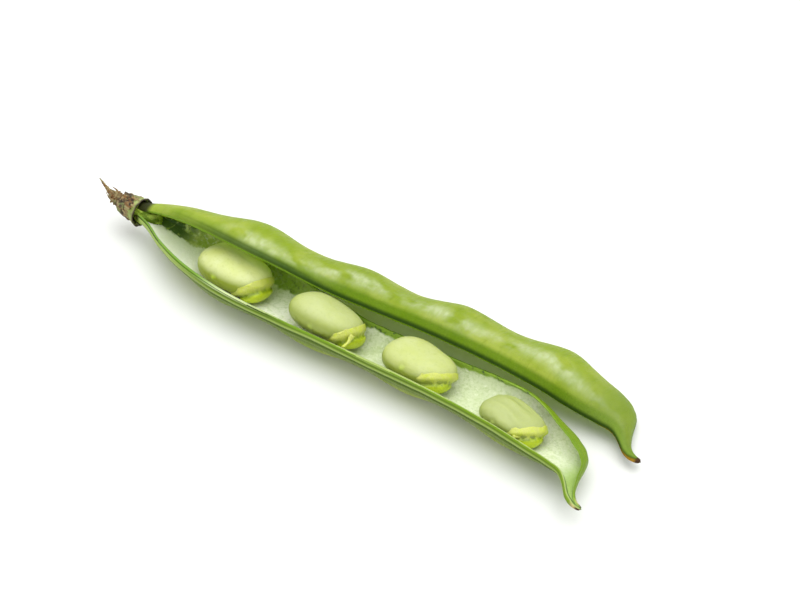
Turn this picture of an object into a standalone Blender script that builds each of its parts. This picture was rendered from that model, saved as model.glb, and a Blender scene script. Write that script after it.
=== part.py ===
"""A broad bean pod split by hand into two halves, with four beans lying in the lower half.

The two halves grew as one pod and stay joined at the neck, behind the calyx. The lower half
lies on its back with its white lining and the beans in view, and the upper half has swung a
little away from it and lies face down. Lengths are in millimetres, and MM turns them into
Blender's metres. X runs from the stalk to the beaks, Y from the edge that carries the beans
to the other edge, and Z is up. The origin is on the surface, under the middle of the pod.
"""

import math

import bmesh
import bpy
import numpy as np
from mathutils import Matrix, Vector

MM = 0.001
UP = Vector((0, 0, 1))

# The pod, measured along its own length from the neck.
POD_LENGTH = 164.4
NECK = Vector((-73.65, -5.63, 8.0))  # centre of the neck, from the origin
BEAN_STATIONS = (38.5, 70.0, 100.0, 132.0)
BULGE_REACH = 9.5  # how far along the pod a bean still swells it
BULGE_SHARE = 0.26  # share of the pod's depth that a bean adds

# Edges of a half seen square on, as (station, distance from the pod's straight axis).
BEAN_EDGE = ((0, -2.7), (6, -4.2), (14, -7.7), (26, -10.8), (40, -11.6), (60, -9.2), (80, -5.8),
             (100, -3.0), (118, -1.2), (132, -0.4), (142, 0.0), (149, 0.3), (153, 0.1),
             (156, -1.8), (159, -4.2), (162, -5.2), (165, -4.8))
BACK_EDGE = ((0, 2.7), (6, 4.3), (14, 6.9), (26, 8.6), (40, 9.2), (60, 10.2), (80, 13.0),
             (100, 16.4), (118, 19.1), (132, 19.6), (142, 17.0), (149, 14.9), (153, 12.5),
             (155.5, 9.4), (157.2, 4.6), (159, 0.6), (161, -1.9), (163, -3.0), (165, -3.4))
OUTER_DEPTH = ((0, 2.8), (8, 4.7), (20, 6.7), (38, 7.8), (132, 7.8), (145, 6.6), (153, 4.4),
               (157, 2.4), (161, 1.2), (165, 0.7))
INNER_DEPTH = ((0, -0.3), (6, 0), (16, 3.5), (30, 5.2), (38, 6.0), (132, 6.0), (145, 3.9),
               (152, 1.9), (156, 0.2), (158, -0.4), (165, -0.2))
NECK_SIZE = (5.8, 3.0, 3.0)  # half its length, width and height
EDGE_WALL = 1.3  # thickness of the wall at an edge
EDGE_BEAD = 0.6  # height of the rounded seam on an edge

# How each half lies. The facing is the way its mouth looks, the yaw turns the whole half about
# the neck, the roll tips its mouth, the shift and height carry its middle, the splay opens its
# back edge wider, the curl turns that edge in over the mouth, plump makes it deeper, and a
# fullness under 1 squares its section. Angles are in degrees.
LOWER = dict(
    facing=1,
    plump=1.0,
    fullness=1.0,
    yaw=-4.5,
    roll=((0, 18), (30, 16), (165, 14)),
    shift=((0, 0), (165, 0)),
    height=((0, 8.0), (20, 7.9), (40, 7.6), (132, 7.6), (150, 7.2), (165, 6.4)),
    splay=((0, 0), (14, 0.5), (26, 2.2), (34, 3.4), (50, 3.8), (62, 2.9), (76, 0), (165, 0)),
    curl=((0, 0), (108, 0), (124, 22), (138, 48), (148, 66), (155, 70), (159, 34), (165, 0)),
)
UPPER = dict(
    facing=-1,
    plump=1.08,
    fullness=0.86,
    yaw=3.3,
    roll=((0, 52), (20, 49), (40, 43), (70, 37), (100, 33), (132, 24), (150, 14), (165, 10)),
    shift=((0, 0.3), (20, 2.0), (40, 3.8), (70, 4.8), (100, 3.3), (132, 2.1), (165, 3.8)),
    height=((0, 8.4), (20, 10.9), (45, 10.1), (70, 6.4), (100, 5.7), (132, 4.5), (150, 3.3),
            (165, 2.8)),
    splay=((0, 0), (165, 0)),
    curl=((0, 0), (165, 0)),
)

# Each bean: station, how far over and up from the middle of the mouth, its size, how it is
# turned, its scar, and the strand that still ties it to the pod's edge. The scar is which way it
# looks round the bean and up (degrees), and how much of the bean would lie beyond it. The tie is
# where the strand leaves the bean stalk, in the bean's own axes, and its station on the edge.
BEAN_PLACES = (
    dict(station=37.3, across=-0.1, up=0.7, size=(21.6, 17.0, 10.2), yaw=-3, roll=2,
         scar=(-7.5, -50, 2.5)),
    dict(station=69.7, across=0.0, up=1.3, size=(21.6, 16.8, 10.0), yaw=-1, roll=-12,
         scar=(4, -50, 2.8), tie=((10.6, -2.8, 0.2), 81.5)),
    dict(station=99.9, across=0.1, up=0.6, size=(20.8, 15.4, 9.4), yaw=-2, roll=0,
         scar=(-40, -56, 3.3)),
    dict(station=131.4, across=-1.4, up=-0.3, size=(18.6, 13.4, 7.6), yaw=1, roll=0,
         scar=(-31, -54, 3.0), tie=((6.3, -3.8, -0.2), 136.8)),
)
BEAN_STALK_REACH = 5.0  # how far a bean stalk stands out from the scar
BED_GAP = 0.5  # between a bean stalk and the lining under it
FIT_GAP = 0.35  # between other pieces that touch

# Calyx and stalk, measured back from the neck.
CALYX_RADIUS = 3.9
CALYX_FOOT = -7.4
STALK_END = Vector((-16.9, 1.4, 3.0))

# Dry sepals: how far round the cup, where each starts and ends along it, and how far out it ends.
SEPALS = ((95, -1.4, -7.4, 2.9), (35, -2.4, -7.8, 3.2), (160, -2.6, -7.1, 2.9), (-70, -3.0, -6.9, 2.6))
# Splinters at the end of the stalk, each from its root to its tip.
SPLINTERS = ((Vector((-10.8, 0.1, 0.3)), Vector((-12.8, -0.6, 3.4))),
             (Vector((-10.4, 0.3, 0.0)), Vector((-12.4, 1.5, 0.9))))

POD_GREEN = (0.335, 0.52, 0.09)
BEAN_GREEN = (0.67, 0.75, 0.33)
BEAN_STALK_GREEN = (0.62, 0.72, 0.06)
CALYX_GREEN = (0.28, 0.33, 0.10)
STALK_BROWN = (0.26, 0.17, 0.08)


def smooth(points, t):
    """A smooth curve through a few (place, value) points: cubic, with its neighbours' slopes."""
    places, values = np.array(points, float).T
    slopes = np.gradient(values, places)
    t = np.clip(np.asarray(t, float), places[0], places[-1])
    i = np.clip(np.searchsorted(places, t, side="right") - 1, 0, len(places) - 2)
    span = places[i + 1] - places[i]
    s = (t - places[i]) / span
    start = (1 + 2 * s) * (1 - s) ** 2 * values[i] + s * (1 - s) ** 2 * span * slopes[i]
    end = s * s * (3 - 2 * s) * values[i + 1] - s * s * (1 - s) * span * slopes[i + 1]
    return start + end


def straight(points, t):
    """Straight lines through a few (place, value) points, for what mustn't overshoot."""
    places, values = np.array(points, float).T
    return np.interp(t, places, values)


def swelling(t):
    """How much the beans swell the pod at a station, from 0 between them to 1."""
    return sum(math.exp(-(((t - b) / BULGE_REACH) ** 2)) for b in BEAN_STATIONS)


def hollow_depth(t):
    """How deep the lining lies under the mouth at a station."""
    return float(straight(INNER_DEPTH, t) * (0.72 + 0.28 * swelling(t)))


def edges(half, t):
    """How far a half's two edges lie from the straight axis at a station."""
    return float(smooth(BEAN_EDGE, t)), float(smooth(BACK_EDGE, t) + straight(half["splay"], t))


def arc(width, depth, angle, fullness=1.0):
    """A point of a half's round wall. Past half a turn the wall curls in over the mouth."""
    lift = 0.45 * width if angle > math.pi else depth
    rise = abs(math.sin(angle)) ** fullness
    return Vector((-width * math.cos(angle), -math.copysign(lift * rise, math.sin(angle))))


def half_ring(half, t, outer_steps=14, inner_steps=12):
    """One closed section of a half, as (across, up) points: the skin, an edge, the lining, an edge."""
    near, far = edges(half, t)
    width = (far - near) / 2
    curl = math.radians(straight(half["curl"], t))
    depth = half["plump"] * straight(OUTER_DEPTH, t) * (1 - BULGE_SHARE + BULGE_SHARE * swelling(t))
    wall = min(EDGE_WALL, 0.8 * width)
    bead = min(EDGE_BEAD, 0.35 * width)
    hollow = hollow_depth(t)
    end = math.pi + curl
    skin = [arc(width, depth, end * i / outer_steps, half["fullness"]) for i in range(outer_steps + 1)]
    lining = [arc(width - wall, hollow, end * (1 - i / inner_steps)) for i in range(inner_steps + 1)]
    back_lean = Vector((-math.sin(curl), math.cos(curl))) * bead
    bean_lean = Vector((0, 1)) * bead
    back_seam = [skin[-1].lerp(lining[0], s) + back_lean * r for s, r in ((0.2, 0.8), (0.5, 1), (0.8, 0.8))]
    bean_seam = [lining[-1].lerp(skin[0], s) + bean_lean * r for s, r in ((0.2, 0.8), (0.5, 1), (0.8, 0.8))]
    return skin + back_seam + lining + bean_seam


def mouth(half, t):
    """Where a half's mouth is at a station: its middle, the way across it and the way up from it."""
    roll = math.radians(smooth(half["roll"], t))
    turn = Matrix.Rotation(math.radians(half["yaw"]), 3, "Z")
    middle = sum(edges(half, t)) / 2 + smooth(half["shift"], t)
    place = Vector((t, middle, smooth(half["height"], t) - NECK.z))
    over = turn @ Vector((0, math.cos(roll), -math.sin(roll)))
    up = turn @ Vector((0, half["facing"] * math.sin(roll), half["facing"] * math.cos(roll)))
    return NECK + turn @ place, over, up


def stations():
    """Places along the pod at which it is drawn, closer together where it turns quickly."""
    return np.concatenate([np.linspace(0, 18, 6), np.linspace(22, 142, 35),
                           np.linspace(145, POD_LENGTH, 13)])


def material(name, colour, roughness):
    made = bpy.data.materials.new(name)
    made.use_nodes = True
    shader = made.node_tree.nodes["Principled BSDF"]
    shader.inputs["Base Color"].default_value = (*colour, 1)
    shader.inputs["Roughness"].default_value = roughness
    return made


def finished(name, bm, paint):
    """The bmesh, in millimetres, as a named object in metres with its faces pointing out."""
    bmesh.ops.remove_doubles(bm, verts=bm.verts, dist=0.002)
    bmesh.ops.recalc_face_normals(bm, faces=bm.faces)
    bmesh.ops.scale(bm, vec=(MM, MM, MM), verts=bm.verts)
    mesh = bpy.data.meshes.new(name)
    bm.to_mesh(mesh)
    bm.free()
    mesh.materials.append(paint)
    mesh.shade_smooth()
    made = bpy.data.objects.new(name, mesh)
    bpy.context.scene.collection.objects.link(made)
    return made


def loft(rings):
    """A closed skin over rings that all have the same number of points."""
    bm = bmesh.new()
    loops = [[bm.verts.new(p) for p in ring] for ring in rings]
    for one, two in zip(loops, loops[1:]):
        for i in range(len(one)):
            j = (i + 1) % len(one)
            bm.faces.new((one[i], one[j], two[j], two[i]))
    bm.faces.new(loops[0][::-1])
    bm.faces.new(loops[-1])
    return bm


def fused(target, others, operation="UNION"):
    """Joins or cuts the other objects into the target, applies it, and removes them."""
    group = bpy.data.collections.new(target.name + "_tools")
    bpy.context.scene.collection.children.link(group)
    for other in others:
        group.objects.link(other)
    boolean = target.modifiers.new("join", "BOOLEAN")
    boolean.operand_type = "COLLECTION"
    boolean.collection = group
    boolean.operation = operation
    boolean.solver = "EXACT"
    whole = bpy.data.meshes.new_from_object(
        target.evaluated_get(bpy.context.evaluated_depsgraph_get()))
    target.modifiers.clear()
    target.data = whole
    for other in others:
        bpy.data.objects.remove(other)
    bpy.data.collections.remove(group)
    return target


def block(low, high, paint):
    """A plain box between two corners, used to cut with."""
    bm = bmesh.new()
    bmesh.ops.create_cube(bm, size=1)
    size = Vector(high) - Vector(low)
    bmesh.ops.scale(bm, vec=size, verts=bm.verts)
    bmesh.ops.translate(bm, vec=(Vector(high) + Vector(low)) / 2, verts=bm.verts)
    return finished("block", bm, paint)


def half_of_pod(name, half, paint):
    rings = []
    for t in stations():
        origin, over, up = mouth(half, t)
        rings.append([origin + over * p.x + up * p.y for p in half_ring(half, t)])
    return finished(name, loft(rings), paint)


def pod():
    """Both halves and the neck that joins them, with small flats where they lie on the surface."""
    paint = material("pod green", POD_GREEN, 0.4)
    lower = half_of_pod("pod", LOWER, paint)
    upper = half_of_pod("upper_half", UPPER, paint)
    bm = bmesh.new()
    bmesh.ops.create_uvsphere(bm, u_segments=18, v_segments=12, radius=1)
    bmesh.ops.rotate(bm, matrix=Matrix.Rotation(math.pi / 2, 3, "Y"), verts=bm.verts)
    bmesh.ops.scale(bm, vec=NECK_SIZE, verts=bm.verts)
    bmesh.ops.translate(bm, vec=NECK + Vector((NECK_SIZE[0] - 4, 0, 0)), verts=bm.verts)
    neck = finished("neck", bm, paint)
    whole = fused(lower, [upper, neck])
    reach = 2 * POD_LENGTH
    return fused(whole, [block((-reach, -reach, -40), (reach, reach, 0), paint)], "DIFFERENCE")


def flake(root, tip, width, thickness, face, paint):
    """A pointed scale or strand from its root to its tip, broad across and thin toward its face."""
    bm = bmesh.new()
    along = tip - root
    bmesh.ops.create_cone(bm, cap_ends=True, segments=8, radius1=width, radius2=0.25 * width,
                          depth=along.length)
    bmesh.ops.scale(bm, vec=(1, thickness / width, 1), verts=bm.verts)
    side = face.cross(along).normalized()
    axes = Matrix((side, along.cross(side).normalized(), along.normalized())).transposed()
    turn = Matrix.Translation((root + tip) / 2) @ axes.to_4x4()
    bmesh.ops.transform(bm, matrix=turn, verts=bm.verts)
    return finished("flake", bm, paint)


def bean_form(size):
    """A whole bean about its own centre: a flattened oval, fuller at one end, with a shallow dip."""
    bm = bmesh.new()
    bmesh.ops.create_uvsphere(bm, u_segments=28, v_segments=16, radius=1)
    bmesh.ops.rotate(bm, matrix=Matrix.Rotation(math.pi / 2, 3, "Y"), verts=bm.verts)
    half = Vector(size) / 2
    for v in bm.verts:
        x, y, z = v.co
        flat = math.hypot(x, y)
        if flat > 0.001:
            square = (abs(x / flat) ** 2.5 + abs(y / flat) ** 2.5) ** (-1 / 2.5)
            x, y = x * square, y * square
        taper = 1 - 0.10 * x
        notch = 1 - 0.10 * math.exp(-(((x - 0.35) / 0.35) ** 2)) * max(y, 0)
        dip = 1 - 0.14 * math.exp(-(((x - 0.25) / 0.4) ** 2) - ((y - 0.2) / 0.6) ** 2)
        v.co = Vector((half.x * x, half.y * y * taper * notch,
                       half.z * math.copysign(abs(z) ** 0.9, z) * taper * dip))
    return bm


def bean_matrix(place):
    """Turns a bean's own axes (along, across, up) into its place in the lower half."""
    origin, over, up = mouth(LOWER, place["station"])
    ahead = mouth(LOWER, place["station"] + 6)[0] - mouth(LOWER, place["station"] - 6)[0]
    along = (ahead - up * ahead.dot(up)).normalized()
    over = up.cross(along)
    axes = Matrix((along, over, up)).transposed()
    own = Matrix.Rotation(math.radians(place["yaw"]), 3, "Z") @ Matrix.Rotation(
        math.radians(place["roll"]), 3, "X")
    centre = origin + over * place["across"] + up * place["up"]
    return Matrix.Translation(centre) @ (axes @ own).to_4x4()


def scar_plane(place):
    """The plane, in a bean's own axes, where the bean's stalk meets it."""
    half = Vector(place["size"]) / 2
    turn, lean = (math.radians(angle) for angle in place["scar"][:2])
    normal = Vector((math.cos(turn) * math.cos(lean), math.sin(turn) * math.cos(lean), math.sin(lean)))
    reach = Vector(half * n for half, n in zip(half, normal)).length
    return normal * (reach - place["scar"][2]), normal


def cut_off(bm, point, normal):
    """Removes what lies beyond a plane and closes the cut with a flat face."""
    cut = bmesh.ops.bisect_plane(bm, geom=bm.verts[:] + bm.edges[:] + bm.faces[:], plane_co=point,
                                 plane_no=normal, clear_outer=True)
    edges = [e for e in cut["geom_cut"] if isinstance(e, bmesh.types.BMEdge)]
    bmesh.ops.holes_fill(bm, edges=edges)


def bean(number, place, paint):
    bm = bean_form(place["size"])
    point, normal = scar_plane(place)
    cut_off(bm, point, normal)
    bmesh.ops.transform(bm, matrix=bean_matrix(place), verts=bm.verts)
    return finished(f"bean_{number}", bm, paint)


def clear_of_bed(place):
    """A place in the lower half, or where it would run into the lining, the nearest clear one."""
    turn = Matrix.Rotation(math.radians(-LOWER["yaw"]), 3, "Z")
    station = (turn @ (place - NECK)).x
    origin, over, up = mouth(LOWER, station)
    near, far = edges(LOWER, station)
    across = (place - origin).dot(over)
    rise = (place - origin).dot(up)
    width = (far - near) / 2 - EDGE_WALL - BED_GAP
    depth = hollow_depth(station) - BED_GAP
    reach = max(1, math.hypot(across / width, min(rise, 0) / depth))
    return origin + over * across / reach + up * (rise / reach if rise < 0 else rise)


def bean_stalk(number, place, paint):
    """The fleshy cap that tied the bean to the pod's edge: two lips with a groove between them."""
    bm = bean_form([s + 0.5 for s in place["size"]])
    point, normal = scar_plane(place)
    cut_off(bm, point + normal * FIT_GAP, -normal)
    depth = max((v.co - point).dot(normal) for v in bm.verts)
    middle = sum((v.co for v in bm.verts), Vector()) / len(bm.verts)
    for v in bm.verts:
        beyond = (v.co - point).dot(normal) / depth
        groove = math.exp(-(((beyond - 0.42) / 0.14) ** 2))
        lips = math.exp(-(((beyond - 0.2) / 0.14) ** 2)) + math.exp(-(((beyond - 0.75) / 0.2) ** 2))
        aside = v.co - middle - normal * (v.co - middle).dot(normal)
        v.co += aside * (0.05 * lips - 0.12 * groove) + normal * beyond * (BEAN_STALK_REACH - depth)
    bmesh.ops.transform(bm, matrix=bean_matrix(place), verts=bm.verts)
    for v in bm.verts:
        v.co = clear_of_bed(v.co)
    cap = finished(f"bean_stalk_{number}", bm, paint)
    if "tie" not in place:
        return cap
    root, station = place["tie"]
    origin, over, up = mouth(LOWER, station)
    near, far = edges(LOWER, station)
    tip = origin - over * ((far - near) / 2 - EDGE_WALL - BED_GAP) + up * 0.2
    return fused(cap, [flake(bean_matrix(place) @ Vector(root), tip, 0.9, 0.8, up, paint)])


def around(centre, radii, angle_steps=20):
    """A ring about the X axis, whose radius may differ with the angle."""
    return [centre + Vector((0, math.cos(a), math.sin(a))) * radii(a)
            for a in (2 * math.pi * i / angle_steps for i in range(angle_steps))]


def lathe(profile):
    """Rings about the neck's axis for a profile of (place along X, radius)."""
    return [[NECK + Vector((x, 0, 0)) + p for p in around(Vector(), lambda a, r=r: r)] for x, r in profile]


def calyx(paint):
    """The cup at the pod's foot, with a thin collar at its mouth and dry sepals clasping its back."""
    outside = lathe(((CALYX_FOOT, 1.5), (CALYX_FOOT + 0.3, 2.5), (-6.0, 3.1), (-4.2, 3.4),
                     (-2.0, CALYX_RADIUS - 0.2), (-0.4, CALYX_RADIUS), (0.1, CALYX_RADIUS + 0.35),
                     (0.7, CALYX_RADIUS + 0.45)))
    inside = lathe(((0.7, CALYX_RADIUS - 0.2), (-1.0, 3.3), (-3.6, 2.9), (-5.0, 2.0), (-5.1, 0.8)))
    cup = finished("calyx", loft(outside + inside), paint)
    scales = []
    for turn, start, end, lift in SEPALS:
        angle = math.radians(turn)
        out = Vector((0, math.cos(angle), math.sin(angle)))
        scales.append(flake(NECK + Vector((start, 0, 0)) + out * CALYX_RADIUS,
                            NECK + Vector((end, 0, 0)) + out * lift, 2.0, 0.6, out, paint))
    return fused(cup, scales)


def stalk(paint):
    """The dry, torn end of the stalk behind the calyx: a knobbly core that ends in splinters."""
    start = Vector((CALYX_FOOT - FIT_GAP, 0, 0))
    rings = []
    for s in np.linspace(0, 1, 9):
        centre = NECK + start.lerp(STALK_END, s) + Vector((0, 0, -0.8 * math.sin(math.pi * s)))
        radius = straight(((0, 1.6), (0.15, 2.3), (0.35, 1.9), (0.6, 1.0), (0.8, 0.65), (1, 0.3)), s)
        rings.append(around(centre, lambda a, r=radius, s=s: r * (1 + 0.16 * math.sin(3 * a + 7 * s)), 10))
    core = finished("stalk", loft(rings), paint)
    splinters = [flake(NECK + root, NECK + tip, 0.9, 0.5, UP, paint) for root, tip in SPLINTERS]
    return fused(core, splinters)


for old in list(bpy.data.objects):
    bpy.data.objects.remove(old)
pod()
bean_paint = material("bean green", BEAN_GREEN, 0.45)
bean_stalk_paint = material("bean stalk green", BEAN_STALK_GREEN, 0.5)
for count, spot in enumerate(BEAN_PLACES, start=1):
    bean(count, spot, bean_paint)
    bean_stalk(count, spot, bean_stalk_paint)
calyx(material("calyx green", CALYX_GREEN, 0.7))
stalk(material("stalk brown", STALK_BROWN, 0.85))
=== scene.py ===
import math

import bmesh
import bpy
import numpy as np
from mathutils import Matrix, Vector, noise


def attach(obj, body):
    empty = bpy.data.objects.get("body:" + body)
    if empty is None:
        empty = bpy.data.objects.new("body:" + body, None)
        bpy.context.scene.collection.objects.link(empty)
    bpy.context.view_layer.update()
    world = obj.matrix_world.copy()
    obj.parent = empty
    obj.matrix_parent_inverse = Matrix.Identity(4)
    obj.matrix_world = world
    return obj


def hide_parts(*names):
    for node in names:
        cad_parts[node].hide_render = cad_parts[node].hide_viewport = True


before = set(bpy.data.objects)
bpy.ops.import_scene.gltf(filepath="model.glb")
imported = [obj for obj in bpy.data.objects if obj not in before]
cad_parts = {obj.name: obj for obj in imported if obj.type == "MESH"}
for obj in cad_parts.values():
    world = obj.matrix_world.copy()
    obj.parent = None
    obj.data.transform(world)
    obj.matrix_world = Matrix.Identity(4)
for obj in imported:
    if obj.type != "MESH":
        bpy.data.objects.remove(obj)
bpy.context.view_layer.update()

# The surface the pod lies on, the light and the view.
# A plain white board in a bright room, lit softly from above and a little behind. Their places
# and sizes are in metres, and everything on the pod is in millimetres.
MILLIMETRE = 0.001
BOARD_SIZE = 6.0
BOARD_WHITE = (0.79, 0.79, 0.775, 1)
BOARD_PALER = (0.8, 0.8, 0.785, 1)
ROOM_LIGHT = (0.97, 1.0, 0.98, 1)
ROOM_STRENGTH = 0.92
LAMP_PLACE = Vector((-0.06, 0.2, 1.0))
LAMP_SIZE = 1.6
LAMP_POWER = 11.6
VIEW_TURN = math.radians(38)
VIEW_HEIGHT = math.radians(42)
VIEW_DISTANCE = 0.8
VIEW_TARGET = Vector((-0.008468, 0.029318, -0.013984))
VIEW_LENS = 127.08
VIEW_NEAR = 0.05
VIEW_FAR = 20


def fed(tree, made, inputs):
    """A node with its inputs given, as values or as other nodes' outputs."""
    for key, value in inputs.items():
        if isinstance(value, bpy.types.NodeSocket):
            tree.links.new(value, made.inputs[key])
        else:
            made.inputs[key].default_value = value
    return made


def node(tree, kind, inputs, **settings):
    """A new node with its settings and inputs."""
    made = tree.nodes.new(kind)
    for key, value in settings.items():
        setattr(made, key, value)
    return fed(tree, made, inputs)


def finish_named(name, **sockets):
    """A new material, and its tree and Principled shader, with the shader's own sockets set."""
    made = bpy.data.materials.new(name)
    made.use_nodes = True
    shader = made.node_tree.nodes["Principled BSDF"]
    fed(made.node_tree, shader, {key.replace("_", " "): value for key, value in sockets.items()})
    return made, made.node_tree, shader


def made_of(name, bm, paints):
    """The bmesh, in millimetres, as a smooth named object in metres."""
    bmesh.ops.scale(bm, vec=(MILLIMETRE, MILLIMETRE, MILLIMETRE), verts=bm.verts)
    mesh = bpy.data.meshes.new(name)
    bm.to_mesh(mesh)
    bm.free()
    for paint in paints:
        mesh.materials.append(paint)
    mesh.shade_smooth()
    made = bpy.data.objects.new(name, mesh)
    bpy.context.scene.collection.objects.link(made)
    return made


board_paint, tree, shader = finish_named("board", Roughness=0.9)
cloudy = node(tree, "ShaderNodeTexNoise", {"Scale": 3.0, "Detail": 2.0})
tint = node(tree, "ShaderNodeMix", {"Factor": cloudy.outputs["Fac"], "A": BOARD_WHITE,
                                    "B": BOARD_PALER}, data_type="RGBA")
fed(tree, shader, {"Base Color": tint.outputs["Result"]})
board_bm = bmesh.new()
bmesh.ops.create_grid(board_bm, x_segments=1, y_segments=1, size=BOARD_SIZE / 2 / MILLIMETRE)
board = made_of("board", board_bm, [board_paint])

room = bpy.data.worlds.new("room")
room.use_nodes = True
fed(room.node_tree, room.node_tree.nodes["Background"],
    {"Color": ROOM_LIGHT, "Strength": ROOM_STRENGTH})
bpy.context.scene.world = room
bpy.context.scene.view_settings.view_transform = "Standard"

lamp = bpy.data.objects.new("lamp", bpy.data.lights.new("lamp", "AREA"))
lamp.data.shape = "DISK"
lamp.data.size = LAMP_SIZE
lamp.data.energy = LAMP_POWER
lamp.location = LAMP_PLACE
lamp.rotation_mode = "QUATERNION"
lamp.rotation_quaternion = (-LAMP_PLACE).to_track_quat("-Z", "Y")
bpy.context.scene.collection.objects.link(lamp)

camera = bpy.data.objects.new("camera", bpy.data.cameras.new("camera"))
back = Vector((math.sin(VIEW_TURN) * math.cos(VIEW_HEIGHT),
               -math.cos(VIEW_TURN) * math.cos(VIEW_HEIGHT), math.sin(VIEW_HEIGHT)))
camera.data.lens = VIEW_LENS
camera.data.clip_start = VIEW_NEAR
camera.data.clip_end = VIEW_FAR
camera.location = VIEW_TARGET + back * VIEW_DISTANCE
camera.rotation_mode = "QUATERNION"
camera.rotation_quaternion = (-back).to_track_quat("-Z", "Y")
bpy.context.scene.collection.objects.link(camera)
bpy.context.scene.camera = camera


# The pod wall.
# One fleshy green wall that grew as a pod and was split by hand into two halves, still joined
# at the neck. Its lining is white and downy, and a fibrous cord runs along each edge.
POD_LENGTH = 164.4
NECK = Vector((-73.65, -5.63, 8.0))
NECK_SIZE = (5.8, 3.0, 3.0)
NECK_STEPS = 64
# A list of pairs holds stations, in millimetres from the neck, and a value at each.
BEAN_STATIONS = (38.5, 70.0, 100.0, 132.0)
BULGE_REACH = 9.5
BULGE_SHARE = 0.26
BEAN_EDGE = ((0, -2.7), (6, -4.2), (14, -7.7), (26, -10.8), (40, -11.6), (60, -9.2), (80, -5.8),
             (100, -3.0), (118, -1.2), (132, -0.4), (142, 0.0), (149, 0.3), (153, 0.1),
             (156, -1.8), (159, -4.2), (162, -5.2), (165, -4.8))
BACK_EDGE = ((0, 2.7), (6, 4.3), (14, 6.9), (26, 8.6), (40, 9.2), (60, 10.2), (80, 13.0),
             (100, 16.4), (118, 19.1), (132, 19.6), (142, 17.0), (149, 14.9), (153, 12.5),
             (155.5, 9.4), (157.2, 4.6), (159, 0.6), (161, -1.9), (163, -3.0), (165, -3.4))
OUTER_DEPTH = ((0, 2.8), (8, 4.7), (20, 6.7), (38, 7.8), (132, 7.8), (145, 6.6), (153, 4.4),
               (157, 2.4), (161, 1.2), (165, 0.7))
INNER_DEPTH = ((0, -0.3), (6, 0), (16, 3.5), (30, 5.2), (38, 6.0), (132, 6.0), (145, 3.9),
               (152, 1.9), (156, 0.2), (158, -0.4), (165, -0.2))
EDGE_WALL = 1.3
EDGE_BEAD = 0.6
BEAD_ROUND = 0.44
CURL_LIFT = 0.45
TIP_ROUND = 0.8
HOLLOW_AT_BEANS = 0.28
# How strongly the painted highlight on the crest shows along the pod.
HIGHLIGHT_SPAN = ((0, 0), (28, 0), (44, 1), (146, 1), (160, 0))
# Each line of the cords: how far it is from the rim, how far it stands out, and its half-width.
BEAN_CORDS = ((0, 0.10, 0.25), (0.75, -0.18, 0.22), (1.45, 0.16, 0.26), (2.2, -0.16, 0.24),
              (2.9, 0.08, 0.3))
BACK_CORDS = ((0.2, -0.10, 0.18), (0.9, 0.10, 0.3), (1.5, -0.10, 0.25))
# The wall is sunk this far, so that its relief stays within the pod's real size.
WALL_SINK = 0.06
# What a half has at its stations: roll, its lean round its length; shift and height, the place of
# its mouth; splay, its back edge pushed out; curl, its back edge rolled in; crest, where a
# highlight is painted on it; corded, how strong its cords are, and cord_drift, how far they
# stray; torn, the width of the torn flesh.
LOWER = dict(
    facing=1, plump=1.0, fullness=1.0, yaw=-4.5,
    roll=((0, 18), (30, 16), (165, 14)),
    shift=((0, 0), (165, 0)),
    height=((0, 8.0), (20, 7.9), (40, 7.6), (132, 7.6), (150, 7.2), (165, 6.4)),
    splay=((0, 0), (14, 0.5), (26, 2.2), (34, 3.4), (50, 3.8), (62, 2.9), (76, 0), (165, 0)),
    curl=((0, 0), (108, 0), (124, 22), (138, 48), (148, 66), (155, 70), (159, 34), (165, 0)),
    crest=((0, 0.5), (165, 0.5)),
    corded=((0, 0.3), (16, 0.3), (44, 1), (165, 1)),
    cord_drift=((0, 0.5), (18, 0.65), (33, 0.8), (53, 0.6), (66, 0.2), (74, 0.0), (80, 0.3),
                (88, 0.65), (104, 0.5), (118, 0.3), (165, 0.2)),
    torn=((0, 0.8), (4, 3.0), (10, 5.2), (22, 6.4), (36, 6.4), (50, 5.4), (60, 4.2), (68, 2.0),
          (84, 2.2), (112, 2.0), (130, 1.6), (150, 1.1), (165, 0.4)),
)
UPPER = dict(
    facing=-1, plump=1.08, fullness=0.86, yaw=3.3,
    roll=((0, 52), (20, 49), (40, 43), (70, 37), (100, 33), (132, 24), (150, 14), (165, 10)),
    shift=((0, 0.3), (20, 2.0), (40, 3.8), (70, 4.8), (100, 3.3), (132, 2.1), (165, 3.8)),
    height=((0, 8.4), (20, 10.9), (45, 10.1), (70, 6.4), (100, 5.7), (132, 4.5), (150, 3.3),
            (165, 2.8)),
    splay=((0, 0), (165, 0)),
    curl=((0, 0), (165, 0)),
    crest=((0, 0.16), (50, 0.15), (64, 0.21), (85, 0.29), (106, 0.24), (120, 0.33), (134, 0.3),
           (165, 0.38)),
    corded=((0, 0), (5, 0), (35, 0.85), (54, 0.85), (72, 0), (165, 0)),
    cord_drift=((0, 0), (165, 0)),
    torn=((0, 0.8), (30, 1.8), (165, 0.6)),
)


def colour(red, green, blue):
    """A colour as a screen shows it, from 0 to 255, turned into the values a shader takes."""
    return tuple(((c / 255 + 0.055) / 1.055) ** 2.4 if c > 10 else c / 255 / 12.92
                 for c in (red, green, blue)) + (1,)


def curve(points, t):
    """A smooth curve through a few (place, value) points."""
    places, values = np.array(points, float).T
    slopes = np.gradient(values, places)
    t = np.clip(np.asarray(t, float), places[0], places[-1])
    i = np.clip(np.searchsorted(places, t, side="right") - 1, 0, len(places) - 2)
    span = places[i + 1] - places[i]
    s = (t - places[i]) / span
    start = (1 + 2 * s) * (1 - s) ** 2 * values[i] + s * (1 - s) ** 2 * span * slopes[i]
    end = s * s * (3 - 2 * s) * values[i + 1] - s * s * (1 - s) * span * slopes[i + 1]
    return start + end


def straight(points, t):
    """Straight lines through a few (place, value) points."""
    places, values = np.array(points, float).T
    return np.interp(t, places, values)


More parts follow.
